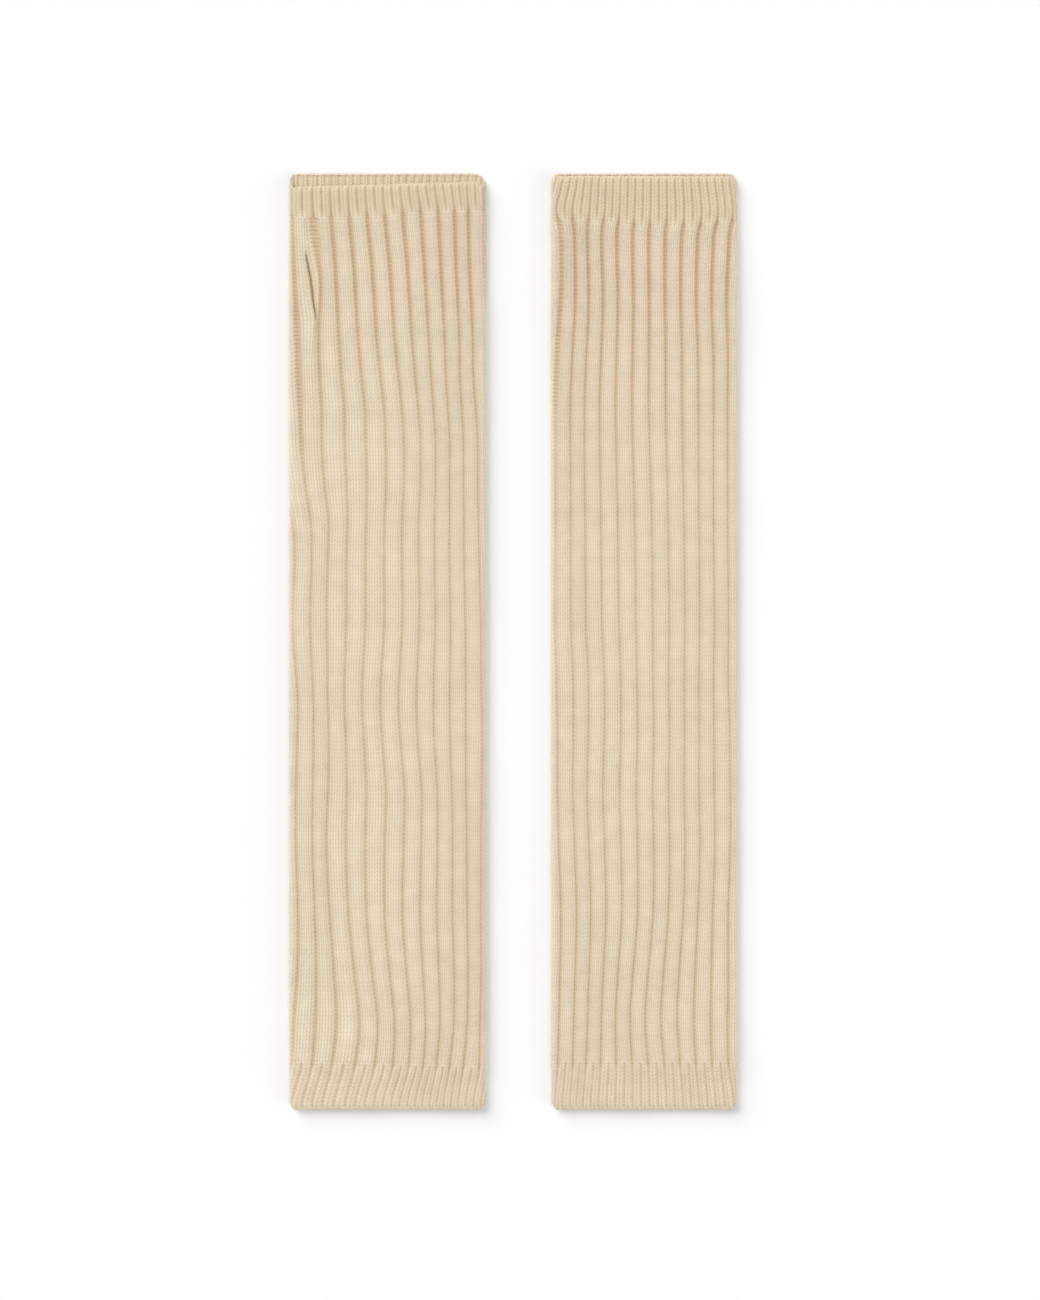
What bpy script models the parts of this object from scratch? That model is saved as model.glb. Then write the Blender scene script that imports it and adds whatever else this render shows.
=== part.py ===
"""Pair of long fingerless gloves in ribbed wool, laid flat side by side on a table.

Each glove is a knitted tube pressed flat: a body in wide ribs between two cuffs in narrow ribs, open at
both ends, with a slit for the thumb. Lengths are in millimetres and become metres when a mesh is made.
Each glove is modelled about its own centre line: X to the right, Y from the arm end to the hand end, and
Z up from the table.
"""

import math
from collections import namedtuple

import bmesh
import bpy
from mathutils import Vector

MM = 0.001

# The cloth
LENGTH = 460.0  # arm rim to hand rim
WALL = 1.75  # thickness of one layer at the bottom of a groove
INSIDE_GAP = 0.5  # between the two layers
SEAM_GAP = 0.3  # between a cuff and the body
BASE_HEIGHT = 2 * WALL + INSIDE_GAP  # both layers, without the ribs
SIDE_RADIUS = BASE_HEIGHT / 2  # of the fold at each side
RIBS_AROUND = 24
WIDE_RELIEF = 1.1  # how far a wide rib stands above its groove
NARROW_RELIEF = 0.7
SIDE_SHARE = 0.25  # share of the relief that is left on the side folds
RIM_INSET = 0.45  # how much thinner each layer gets at a rim
RIM_LENGTH = 2.6  # the plain edge past the last row of ribs

# Points across a rib, as a share of its pitch and of its relief
Point = namedtuple("Point", "phase rise")
WIDE_RIB = (
    Point(0, 0),
    Point(0.12, 0.66),
    Point(0.3, 0.95),
    Point(0.5, 1),
    Point(0.7, 0.95),
    Point(0.88, 0.66),
)
NARROW_RIB = (Point(0, 0), Point(0.14, 0.8), Point(0.25, 1), Point(0.36, 0.8))
FRONT_RIBS = range(-1, 13)  # ribs with all their points; the others lie under the glove
BACK_PHASES = (0, 0.5)

# The thumb slit
SLIT_SPREAD = 0.04  # from the slit's middle to each lip where it is closed, as a share of the pitch
SLIT_WIDTH = 1.8  # where it stands open the most
SLIT_ENDS = (387.0, 422.0)
SLIT_STEPS = 6

# Where five of the grooves run, from the centre line, at heights above the arm rim
Course = namedtuple("Course", "height groove_1 groove_3 groove_6 groove_9 groove_11")
TRACKED = (1, 3, 6, 9, 11)
LEFT_COURSES = (
    Course(0, -42.6, -21.5, 5.0, 27.2, 41.4),
    Course(21, -37.7, -16.6, 9.5, 30.1, 44.4),
    Course(42, -36.0, -14.6, 10.9, 32.1, 44.8),
    Course(68, -35.8, -17.3, 8.5, 32.1, 45.3),
    Course(95, -36.2, -19.5, 7.0, 31.6, 44.8),
    Course(130, -37.2, -20.8, 7.5, 31.6, 45.3),
    Course(201, -37.2, -22.0, 5.0, 30.1, 45.3),
    Course(272, -38.0, -20.8, 6.5, 30.1, 44.4),
    Course(307, -41.2, -20.5, 7.5, 30.1, 43.9),
    Course(343, -43.6, -22.0, 6.5, 28.6, 42.9),
    Course(378, -45.1, -24.4, 3.1, 27.6, 41.4),
    Course(413, -47.1, -26.4, 0.6, 25.7, 39.9),
    Course(440, -47.5, -28.4, -2.3, 23.7, 39.4),
    Course(460, -47.5, -28.9, -3.3, 22.2, 38.5),
)
RIGHT_COURSES = (
    Course(0, -37.0, -23.2, 2.3, 26.9, 43.6),
    Course(21, -35.5, -21.8, 1.8, 25.4, 41.1),
    Course(60, -34.5, -20.8, 0.8, 24.4, 40.6),
    Course(95, -33.6, -19.3, 3.8, 25.9, 40.6),
    Course(130, -34.5, -19.8, 4.3, 26.9, 41.1),
    Course(183, -35.0, -19.8, 4.3, 26.4, 41.6),
    Course(237, -36.5, -21.3, 3.8, 26.9, 41.1),
    Course(290, -36.5, -21.8, 3.3, 26.4, 40.6),
    Course(343, -36.5, -22.3, 1.8, 25.9, 40.6),
    Course(396, -34.5, -20.8, 1.8, 24.9, 40.2),
    Course(427, -35.0, -21.8, 1.8, 25.9, 41.9),
    Course(440, -35.5, -20.3, 2.3, 27.9, 43.1),
    Course(460, -33.1, -19.3, 2.8, 26.4, 41.6),
)

# Where the slit's middle runs, as a share of the way from the groove on its left to the one on its right
SlitCourse = namedtuple("SlitCourse", "height share")
LEFT_SLIT = (
    SlitCourse(364, 0.65),
    SlitCourse(388, 0.84),
    SlitCourse(398, 0.72),
    SlitCourse(408, 0.63),
    SlitCourse(421, 0.56),
    SlitCourse(436, 0.65),
)
RIGHT_SLIT = (SlitCourse(364, 0.35), SlitCourse(436, 0.35))

# Grooves that the cloth's pull has opened from one height to another; width is from shoulder to shoulder
OpenGroove = namedtuple("OpenGroove", "rib low high width")
OPENING_LENGTH = 14.0  # over which such a groove widens at each end
LEFT_OPEN = (OpenGroove(1, 348, 383, 4.6), OpenGroove(2, 424, 446, 5.6), OpenGroove(11, 60, 420, 3.0))
RIGHT_OPEN = (OpenGroove(0, 349, 431, 4.2), OpenGroove(11, 60, 420, 3.2))

# A pair of values is for the glove's left side and its right side. The corner radii are as seen from above.
# hand_drop is how far the front layer's rim lies below the back layer's.
# slit_rib is the rib that the slit splits, and slit_phase where it does so in the rib's own points.
Glove = namedtuple(
    "Glove",
    "name width centre arm_cuff hand_cuff arm_corners hand_corners hand_drop"
    " courses open_grooves slit_rib slit_phase slit",
)
GLOVES = (
    Glove(
        *("left", 97.0, -61.65, 23.5, 21.5, (4.0, 4.0), (4.0, 6.5), (6.8, 4.0)),
        *(LEFT_COURSES, LEFT_OPEN, 1, 0.65, LEFT_SLIT),
    ),
    Glove(
        *("right", 91.5, 64.4, 23.5, 25.5, (4.0, 3.5), (4.0, 4.0), (1.4, 1.4)),
        *(RIGHT_COURSES, RIGHT_OPEN, 22, 0.35, RIGHT_SLIT),
    ),
)


def between(low, high, share):
    return low + (high - low) * share


def read_table(rows, height, column):
    """The value of a table's column at a height, on a smooth curve through the rows."""
    last = len(rows) - 1
    index = max(0, min(last - 1, sum(row.height <= height for row in rows) - 1))
    before, low, high, after = (getattr(rows[max(0, min(last, index + i))], column) for i in (-1, 0, 1, 2))
    share = (height - rows[index].height) / (rows[index + 1].height - rows[index].height)
    share = max(0.0, min(1.0, share))
    slope_low, slope_high = (high - before) / 2, (after - low) / 2
    rise = high - low
    return (
        low
        + slope_low * share
        + (3 * rise - 2 * slope_low - slope_high) * share**2
        + (slope_low + slope_high - 2 * rise) * share**3
    )


def front_track(glove, rib, height):
    """How far a groove lies from the centre line, along the cloth; rib counts the grooves from the left."""
    marks = [read_table(glove.courses, height, f"groove_{number}") for number in TRACKED]
    if rib <= TRACKED[0]:
        return marks[0] + (rib - TRACKED[0]) * (marks[1] - marks[0]) / (TRACKED[1] - TRACKED[0])
    if rib >= TRACKED[-1]:
        return marks[-1] + (rib - TRACKED[-1]) * (marks[-1] - marks[-2]) / (TRACKED[-1] - TRACKED[-2])
    total = 0.0
    for i, mark in enumerate(marks):  # the one smooth curve through all five
        weight = 1.0
        for j, other in enumerate(TRACKED):
            if j != i:
                weight *= (rib - other) / (TRACKED[i] - other)
        total += mark * weight
    return total


def base_half_width(glove):
    return glove.width / 2 - WIDE_RELIEF * SIDE_SHARE


def perimeter(glove):
    return 4 * (base_half_width(glove) - SIDE_RADIUS) + 2 * math.pi * SIDE_RADIUS


def track(glove, rib, height):
    """The same all round the tube: the ribs under the glove share what the front leaves them."""
    first, last = FRONT_RIBS[0], FRONT_RIBS[-1] + 1
    if rib <= last:
        return front_track(glove, rib, height)
    start = front_track(glove, last, height)
    end = front_track(glove, first, height) + perimeter(glove)
    return between(start, end, (rib - last) / (RIBS_AROUND + first - last))


def slit_opening(height):
    """Half the width of the slit at a height."""
    share = (height - SLIT_ENDS[0]) / (SLIT_ENDS[1] - SLIT_ENDS[0])
    if not 0 < share < 1:
        return 0.0
    return SLIT_WIDTH / 2 * math.sin(math.pi * share)


def half_groove(glove, rib, height, pitch):
    """Half of a groove's width, as a share of the pitch: up to the rib's shoulder, or more where it is open."""
    shoulder = WIDE_RIB[1].phase
    for groove in glove.open_grooves:
        if groove.rib == rib:
            into = min(height - groove.low, groove.high - height) / OPENING_LENGTH
            opened = max(0.0, min(1.0, 1 + into))
            return between(shoulder, max(shoulder, groove.width / 2 / pitch), opened)
    return shoulder


def place_on_cloth(glove, rib, height):
    """Where a point lies along the tube's perimeter, past open grooves and with the slit's lips apart."""
    start = math.floor(rib)
    phase = rib - start
    low, high = track(glove, start, height), track(glove, start + 1, height)
    if start != glove.slit_rib or phase == 0:
        shoulder = WIDE_RIB[1].phase
        left, right = (half_groove(glove, start + side, height, high - low) for side in (0, 1))
        if phase < shoulder:
            share = left * phase / shoulder
        elif phase > 1 - shoulder:
            share = 1 - right * (1 - phase) / shoulder
        else:
            share = between(left, 1 - right, (phase - shoulder) / (1 - 2 * shoulder))
        return between(low, high, share)
    middle = read_table(glove.slit, height, "share")
    half = SLIT_SPREAD + slit_opening(height) / (high - low)
    if phase < glove.slit_phase:
        share = phase / (glove.slit_phase - SLIT_SPREAD) * (middle - half)
    else:
        share = 1 - (1 - phase) / (1 - glove.slit_phase - SLIT_SPREAD) * (1 - middle - half)
    return between(low, high, share)


def around(glove, along):
    """The point of the tube's middle line at a distance along its perimeter, and the way out of it."""
    flat = base_half_width(glove) - SIDE_RADIUS
    half = perimeter(glove) / 2
    along = (along + half) % (2 * half) - half
    side = math.copysign(1, along)
    past = abs(along) - flat
    if past <= 0:
        return Vector((along, 0, SIDE_RADIUS)), Vector((0, 0, 1))
    angle = past / SIDE_RADIUS
    if angle < math.pi:
        return Vector((side * flat, 0, SIDE_RADIUS)), Vector((side * math.sin(angle), 0, math.cos(angle)))
    return Vector((side * (flat - (past - math.pi * SIDE_RADIUS)), 0, SIDE_RADIUS)), Vector((0, 0, -1))


def relief_share(out):
    """Full relief on the front, little on the side folds, and none where the glove rests."""
    if out.z >= 0:
        return between(SIDE_SHARE, 1, out.z**2)
    return max(0.0, SIDE_SHARE * (1 + 2 * out.z))


def corner_drop(glove, x, radii):
    """How far a rim is set back at a distance from the centre line, so that the corners are round."""
    radius = radii[x > 0]
    into = abs(x) - (glove.width / 2 - radius)
    if into <= 0:
        return 0.0
    return radius - math.sqrt(max(0.0, radius**2 - into**2))


def rim_height(glove, x, out, at_hand):
    """How high up the glove its rim lies; at the hand the front layer stops short of the back one."""
    if not at_hand:
        return corner_drop(glove, x, glove.arm_corners)
    drop = between(*glove.hand_drop, x / glove.width + 0.5)
    return LENGTH - corner_drop(glove, x, glove.hand_corners) - drop * max(0.0, min(1.0, (out.z + 1) / 2))


def wide_columns(glove):
    """Every point across the body's ribs, in order round the tube."""
    found = {}
    for rib in range(FRONT_RIBS[0], RIBS_AROUND + FRONT_RIBS[0]):
        points = WIDE_RIB if rib in FRONT_RIBS else [Point(phase, 0) for phase in BACK_PHASES]
        for point in points:
            if rib == glove.slit_rib and abs(point.phase - glove.slit_phase) < 2 * SLIT_SPREAD:
                continue
            found[rib + point.phase] = point.rise
    for lip in slit_lips(glove):
        found[lip] = WIDE_RIB[4].rise if glove.slit_rib in FRONT_RIBS else 0.0
    return sorted(found.items())


def narrow_columns(glove):
    found = {}
    for rib in range(FRONT_RIBS[0], RIBS_AROUND + FRONT_RIBS[0]):
        for half in (0, 0.5):
            points = NARROW_RIB if rib in FRONT_RIBS else [Point(0, 0)]
            for point in points:
                found[rib + half + point.phase] = point.rise
    return sorted(found.items())


def inner_columns(glove, with_slit):
    """The plain inside has fewer points, and shares the slit's lips."""
    ribs = range(FRONT_RIBS[0], RIBS_AROUND + FRONT_RIBS[0])
    found = {rib + phase: 0.0 for rib in ribs for phase in BACK_PHASES}
    if with_slit:
        found.update({lip: 0.0 for lip in slit_lips(glove)})
    return sorted(found.items())


def slit_lips(glove):
    middle = glove.slit_rib + glove.slit_phase
    return middle - SLIT_SPREAD, middle + SLIT_SPREAD


def layer_point(glove, rib, height, offset):
    """A point on the cloth, moved out of the tube's middle line by an offset."""
    middle, out = around(glove, place_on_cloth(glove, rib, height))
    return middle + out * offset, out


def close_ring(mesh, outer, inner):
    """Joins an outer ring of points to an inner one; both list (rib, point) in order round the tube."""
    outer = outer + [(outer[0][0] + RIBS_AROUND, outer[0][1])]
    inner = inner + [(inner[0][0] + RIBS_AROUND, inner[0][1])]
    i = j = 0
    while i < len(outer) - 1 or j < len(inner) - 1:
        if j == len(inner) - 1 or (i < len(outer) - 1 and outer[i + 1][0] <= inner[j + 1][0]):
            mesh.faces.new((outer[i][1], inner[j][1], outer[i + 1][1]))
            i += 1
        else:
            mesh.faces.new((outer[i][1], inner[j][1], inner[j + 1][1]))
            j += 1


def skin(mesh, rows, hole):
    """Faces between rows of points, all round; hole is (column, first row, last row) that stays open."""
    across = len(rows[0])
    for r in range(len(rows) - 1):
        for c in range(across):
            if hole and c == hole[0] and hole[1] <= r < hole[2]:
                continue
            n = (c + 1) % across
            mesh.faces.new((rows[r][c], rows[r][n], rows[r + 1][n], rows[r + 1][c]))


def line_slit(mesh, outer, inner, outer_column, inner_column, first, last):
    """The cut faces of the cloth round the slit."""
    for r in range(first, last):
        for side in (0, 1):
            a, b = outer_column + side, inner_column + side
            mesh.faces.new((outer[r][a], outer[r + 1][a], inner[r + 1][b], inner[r][b]))
    for r in (first, last):
        a, b = outer_column, inner_column
        mesh.faces.new((outer[r][a], outer[r][a + 1], inner[r][b + 1], inner[r][b]))


def wool():
    material = bpy.data.materials.new("cream_wool")
    material.use_nodes = True
    shader = material.node_tree.nodes["Principled BSDF"]
    shader.inputs["Base Color"].default_value = (0.79, 0.67, 0.50, 1)
    shader.inputs["Roughness"].default_value = 0.9
    shader.inputs["Metallic"].default_value = 0.0
    return material


def add_piece(name, mesh, parent, material):
    """Turns a finished shape into an object on its glove's empty."""
    bmesh.ops.triangulate(mesh, faces=mesh.faces[:])
    bmesh.ops.recalc_face_normals(mesh, faces=mesh.faces[:])
    data = bpy.data.meshes.new(name)
    mesh.to_mesh(data)
    mesh.free()
    data.materials.append(material)
    data.shade_smooth()
    data.set_sharp_from_angle(angle=math.radians(50))
    piece = bpy.data.objects.new(name, data)
    bpy.context.scene.collection.objects.link(piece)
    piece.parent = parent
    return piece


def body_heights(glove):
    """The rows of the body: even steps, with closer ones along the slit."""
    low = glove.arm_cuff + SEAM_GAP / 2
    high = LENGTH - glove.hand_cuff - SEAM_GAP / 2
    below, above = 15, 1
    heights = [between(low, SLIT_ENDS[0], i / below) for i in range(below)]
    heights += [between(*SLIT_ENDS, i / SLIT_STEPS) for i in range(SLIT_STEPS)]
    heights += [between(SLIT_ENDS[1], high, i / above) for i in range(above + 1)]
    return heights, (below, below + SLIT_STEPS)


def make_body(glove, parent, material):
    mesh = bmesh.new()
    heights, (first, last) = body_heights(glove)
    outside, inside = wide_columns(glove), inner_columns(glove, with_slit=True)
    outer, inner = [], []
    for height in heights:
        outer_row = []
        for rib, rise in outside:
            out = layer_point(glove, rib, height, 0)[1]
            offset = SIDE_RADIUS + WIDE_RELIEF * rise * relief_share(out)
            point = layer_point(glove, rib, height, offset)[0]
            outer_row.append(mesh.verts.new(Vector((point.x, height, point.z)) * MM))
        outer.append(outer_row)
        inner_row = []
        for rib, _ in inside:
            point = layer_point(glove, rib, height, INSIDE_GAP / 2)[0]
            inner_row.append(mesh.verts.new(Vector((point.x, height, point.z)) * MM))
        inner.append(inner_row)
    outer_lip = [rib for rib, _ in outside].index(slit_lips(glove)[0])
    inner_lip = [rib for rib, _ in inside].index(slit_lips(glove)[0])
    skin(mesh, outer, (outer_lip, first, last))
    skin(mesh, inner, (inner_lip, first, last))
    line_slit(mesh, outer, inner, outer_lip, inner_lip, first, last)
    for row in (0, -1):
        close_ring(
            mesh,
            [(rib, point) for (rib, _), point in zip(outside, outer[row])],
            [(rib, point) for (rib, _), point in zip(inside, inner[row])],
        )
    return add_piece(f"{glove.name}_body", mesh, parent, material)


def make_cuff(glove, parent, material, at_hand):
    """A narrow-rib band, from its seam with the body to its rounded rim."""
    mesh = bmesh.new()
    seam = LENGTH - glove.hand_cuff + SEAM_GAP / 2 if at_hand else glove.arm_cuff - SEAM_GAP / 2
    way = 1 if at_hand else -1
    outside, inside = narrow_columns(glove), inner_columns(glove, with_slit=False)
    # Each row: how far it lies from the rim, its share of the relief, and how much thinner the layer is
    rows = (
        ("seam", 1, 0),
        ("middle", 1, 0),
        (RIM_LENGTH, 1, 0),
        (RIM_LENGTH * 0.7, 0.45, 0),
        (0, 0.2, RIM_INSET),
    )
    outer, inner = [], []
    for start, share, inset in rows:
        for columns, found in ((outside, outer), (inside, inner)):
            row = []
            for rib, rise in columns:
                middle, out = layer_point(glove, rib, seam, SIDE_RADIUS)
                rim = rim_height(glove, middle.x, out, at_hand)
                if start == "seam":
                    height = seam
                elif start == "middle":
                    height = between(seam, rim - way * RIM_LENGTH, 0.5)
                else:
                    height = rim - way * start
                if found is outer:
                    base = layer_point(glove, rib, height, 0)[1]
                    relief = NARROW_RELIEF * rise * share * relief_share(base)
                    offset = SIDE_RADIUS - inset * max(0.0, base.z) + relief
                else:
                    offset = INSIDE_GAP / 2
                point = layer_point(glove, rib, height, offset)[0]
                row.append(mesh.verts.new(Vector((point.x, height, point.z)) * MM))
            found.append(row)
    skin(mesh, outer, None)
    skin(mesh, inner, None)
    for row in (0, -1):
        close_ring(
            mesh,
            [(rib, point) for (rib, _), point in zip(outside, outer[row])],
            [(rib, point) for (rib, _), point in zip(inside, inner[row])],
        )
    name = f"{glove.name}_hand_cuff" if at_hand else f"{glove.name}_arm_cuff"
    return add_piece(name, mesh, parent, material)


def clear_scene():
    for thing in list(bpy.data.objects):
        bpy.data.objects.remove(thing)


def main():
    clear_scene()
    material = wool()
    for glove in GLOVES:
        centre = bpy.data.objects.new(f"{glove.name}_glove", None)
        bpy.context.scene.collection.objects.link(centre)
        centre.location = Vector((glove.centre, -LENGTH / 2, 0)) * MM
        make_body(glove, centre, material)
        make_cuff(glove, centre, material, at_hand=True)
        make_cuff(glove, centre, material, at_hand=False)


main()
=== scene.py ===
# Pair of long fingerless gloves in cream ribbed wool, laid flat side by side
import math

import bpy
import numpy as np
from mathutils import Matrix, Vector


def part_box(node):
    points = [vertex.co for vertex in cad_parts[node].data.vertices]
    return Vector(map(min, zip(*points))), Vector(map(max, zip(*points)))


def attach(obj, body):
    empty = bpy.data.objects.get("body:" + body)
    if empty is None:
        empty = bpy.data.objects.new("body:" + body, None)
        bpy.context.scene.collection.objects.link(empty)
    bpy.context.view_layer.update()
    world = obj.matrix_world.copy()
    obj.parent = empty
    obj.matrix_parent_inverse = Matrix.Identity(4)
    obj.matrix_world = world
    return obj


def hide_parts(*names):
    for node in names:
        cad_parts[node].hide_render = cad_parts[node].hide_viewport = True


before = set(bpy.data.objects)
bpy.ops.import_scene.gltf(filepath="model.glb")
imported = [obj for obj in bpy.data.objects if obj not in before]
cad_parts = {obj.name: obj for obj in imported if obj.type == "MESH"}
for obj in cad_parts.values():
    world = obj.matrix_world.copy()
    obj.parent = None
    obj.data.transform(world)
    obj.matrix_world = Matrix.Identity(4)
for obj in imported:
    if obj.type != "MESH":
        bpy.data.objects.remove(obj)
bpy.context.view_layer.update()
mm = 0.001

# Lengths are in mm until a mesh is made. Each glove is worked out about its own centre line, from the arm rim
# at height 0 up to the hand rim.
cloth = {
    "ribsAround": 24,  # wide ribs round one tube
    "wall": 1.75,  # one layer, at the bottom of a groove
    "insideGap": 0.5,  # between the two layers
    "wideRelief": 1.0,  # how far a wide rib stands up
    "narrowRelief": 0.6,  # and a narrow one
    "stitchRelief": 0.3,
    "purlRelief": 0.22,
    "sideShare": 0.45,  # share of the relief left on the side folds
    "underShare": 0.4,  # and under the glove
    "rowHeight": 2.0,
    "stitchSlant": 0.7,  # how far a stitch's legs climb, in rows
    "stitchDip": 0.35,  # share of a leg's height left where it goes under the next row
    "leastStitch": 0.35,  # share of the stitches' height left where the ribs are lowest, and right at a seam
    "calmLength": 1.5,  # over which the stitches rise from a seam
    "sideProud": 1.1,  # how far ribs and stitches stand out from the tube, before sideShare
    "underProud": 0.75,  # share of the stitches' height kept clear of the table
    # a groove's width at each height, wider near the hand
    "grooveWidths": [(0, 1.7), (90, 1.5), (150, 1.35), (310, 1.4)]
    + [(350, 1.7), (400, 2.2), (438, 2.5), (460, 2.5)],
    # share of the relief at each height, as the ribs lie flatter half way up
    "reliefAlong": [(0, 0.97), (90, 0.95), (150, 0.88), (310, 0.88), (370, 1.04), (460, 1.04)],
    "cuffGrooveWidth": 0.8,
    "grooveFloor": 0.1,  # half the flat bottom of a groove
    "grooveFlank": 0.55,  # how far a rib's round side reaches into a purl column
    "openingLength": 14.0,  # over which a stretched groove widens
}

# counted from the left; the courses say how far each is from the glove's centre line
trackedGrooves = (1, 3, 6, 9, 11)
leftGlove = {
    "width": 97.0,
    "armCorners": (4.0, 4.0),  # radius at the left side and at the right side, seen from above
    "handCorners": (4.0, 6.5),
    "handDrop": (6.8, 4.0),  # how far the front layer's rim lies below the back layer's
    "courses": [
        # height, then the grooves
        (0, -42.4, -21.2, 5.5, 27.3, 41.8),
        (21, -37.3, -16.2, 10.2, 30.2, 44.9),
        (42, -35.5, -13.9, 11.3, 32.6, 45.4),
        (68, -35, -16.5, 9.2, 32.7, 45.9),
        (95, -35.7, -19.2, 7.4, 32, 45.7),
        (130, -36.8, -20.5, 7.9, 32, 45.8),
        (155, -36.7, -20.1, 8.3, 31.6, 46),
        (180, -36.4, -20.5, 6.3, 30.8, 46.3),
        (201, -36.5, -21.3, 5.4, 30.6, 45.9),
        (237, -38, -20.4, 7.2, 30.9, 45.7),
        (272, -37.2, -20.2, 7.1, 30.4, 45),
        (289, -38, -19.7, 7.2, 30.5, 44.6),
        (307, -40.6, -20.3, 8.1, 30.5, 44.4),
        (327, -42.3, -21.1, 8, 30.6, 44.3),
        (343, -42.9, -21.2, 7.1, 29.7, 43.4),
        (360, -43.6, -22.7, 5.3, 28.7, 42.2),
        (378, -44.3, -23.9, 3.5, 28.1, 42),
        (413, -46.2, -25.6, 1.2, 26.3, 40.3),
        (440, -47.4, -27.7, -1.4, 24.8, 39.7),
        (460, -47.4, -28.4, -2.6, 22.9, 38.8),
    ],
    # x, and how far the seam of the cuff lies above its mean height there
    "handSeamRise": [(-48.5, -0.1), (-28, -0.6), (0, 0.2), (12, 1.7), (28, 2.2), (48.5, 2.8)],
    "armSeamRise": [(-48.5, -0.3), (0, -1.2), (48.5, -2.5)],
    # one groove's own wander: groove, then height and how far to the right
    "wanders": [
        (2, [(10, -1.0), (45, -1.2), (75, -0.8), (130, -0.7), (165, 0), (215, 0), (250, -0.4), (285, 0)]),
        (2, [(285, 0), (305, -0.6), (352, -0.5), (372, -0.2)]
        + [(386, 0.5), (396, 1.8), (408, 2.3), (419, 1.5)]),
        (2, [(419, 0), (431, -0.9), (445, -1.1)]),
    ],
    # grooves that the cloth's pull has opened: groove, from height, to height, width
    "openGrooves": [(1, 325, 390, 2.3), (1, 352, 384, 3.4), (2, 426, 446, 4.6)],
    "slit": {
        "rib": 1,
        "unit": 3,  # it runs before this stitch column of the rib
        "ends": (387.5, 420.5),
        "width": 1.0,
        # height, and where it runs as a share of the rib
        "course": [(364, 0.65), (388, 0.82), (396, 0.71), (408, 0.62), (419, 0.545), (436, 0.6)],
    },
}
rightGlove = {
    "width": 91.5,
    "armCorners": (4.0, 3.5),
    "handCorners": (4.0, 4.0),
    "handDrop": (1.4, 1.4),
    "courses": [
        (0, -36.7, -22.8, 2.5, 26.9, 43.9),
        (21, -35.1, -21.5, 2, 25.4, 41.4),
        (42, -34.5, -21, 0.5, 24.4, 41),
        (60, -34, -20.3, 1.5, 24.8, 41.3),
        (95, -33.1, -18.7, 4.4, 26.4, 41.3),
        (130, -34.2, -19.5, 4.7, 27.4, 42.2),
        (155, -35, -20.3, 4.2, 26.9, 42.2),
        (183, -34.7, -19.6, 4.7, 27, 42),
        (210, -34.9, -19.6, 4.3, 26.9, 41.3),
        (237, -35.9, -20.8, 4.2, 27.3, 41.4),
        (290, -36, -21.3, 3.6, 26.9, 41),
        (343, -36.2, -21.9, 2.3, 26.6, 41),
        (370, -35.1, -21, 2.5, 26.5, 41.2),
        (396, -33.7, -20.1, 2.5, 25.7, 40.5),
        (427, -34.1, -20.8, 2.3, 26.3, 41.9),
        (440, -35.3, -19.5, 2.9, 28.1, 43.3),
        (460, -32.9, -18.8, 3.2, 26.6, 41.8),
    ],
    "handSeamRise": [(-46, 2.4), (-25, 1.6), (0, -0.8), (25, -0.4), (46, 1.8)],
    "armSeamRise": [(-46, 0), (46, 0)],
    "wanders": [
        (0, [(0, -0.6), (100, -0.6), (150, -0.3), (210, -0.6), (300, -0.3), (388, -0.6), (405, 0)]),
    ],
    "openGrooves": [(0, 349, 431, 3.2)],
    "slit": {
        "rib": 22,
        "unit": 2,
        "ends": (387.0, 422.0),
        "width": 1.2,
        "course": [(364, 0.35), (436, 0.35)],
    },
}
gloves = {"left": leftGlove, "right": rightGlove}
firstRib, lastRib = -1, 11  # ribs that show from above, and over the side folds
lastTracked = 13  # the last groove whose place follows from the courses
unitsPerRib = 4
turnUnits = cloth["ribsAround"] * unitsPerRib
ways = {"hand": 1, "arm": -1}  # which way along Y each end points
sideRadius = cloth["wall"] + cloth["insideGap"] / 2
nodeBoxes = [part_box(f"{name}_{part}") for name in gloves for part in ("body", "hand_cuff", "arm_cuff")]
pairLow = Vector([min(values) for values in zip(*(low for low, high in nodeBoxes))])
pairHigh = Vector([max(values) for values in zip(*(high for low, high in nodeBoxes))])
handEnd = (pairHigh.y - pairLow.y) / mm


def curveThrough(xs, ys, at):
    # a smooth curve through the points, level past its ends
    xs, ys, at = (np.asarray(values, float) for values in (xs, ys, at))
    i = np.clip(np.searchsorted(xs, at, "right") - 1, 0, len(xs) - 2)
    t = np.clip((at - xs[i]) / (xs[i + 1] - xs[i]), 0, 1)
    low, high = ys[i], ys[i + 1]
    slopeLow = (high - ys[np.maximum(i - 1, 0)]) / 2
    slopeHigh = (ys[np.minimum(i + 2, len(ys) - 1)] - low) / 2
    rise = high - low
    bend = (3 * rise - 2 * slopeLow - slopeHigh) * t**2
    return low + slopeLow * t + bend + (slopeLow + slopeHigh - 2 * rise) * t**3


def eased(share):
    # from 0 to 1 with a soft start and end
    share = np.clip(share, 0, 1)
    return share * share * (3 - 2 * share)


def measureGlove(name):
    # sizes that the frame gives, and those that follow from them
    glove = gloves[name]
    low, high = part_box(f"{name}_body")
    glove["name"] = name
    glove["centre"] = (low.x + high.x) / 2 / mm
    glove["armSeam"] = (low.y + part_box(f"{name}_arm_cuff")[1].y) / 2 / mm + handEnd / 2
    glove["handSeam"] = (high.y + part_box(f"{name}_hand_cuff")[0].y) / 2 / mm + handEnd / 2
    glove["flatHalf"] = glove["width"] / 2 - cloth["sideProud"] * cloth["sideShare"] - sideRadius
    glove["perimeter"] = 4 * glove["flatHalf"] + 2 * math.pi * sideRadius
    return glove


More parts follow.
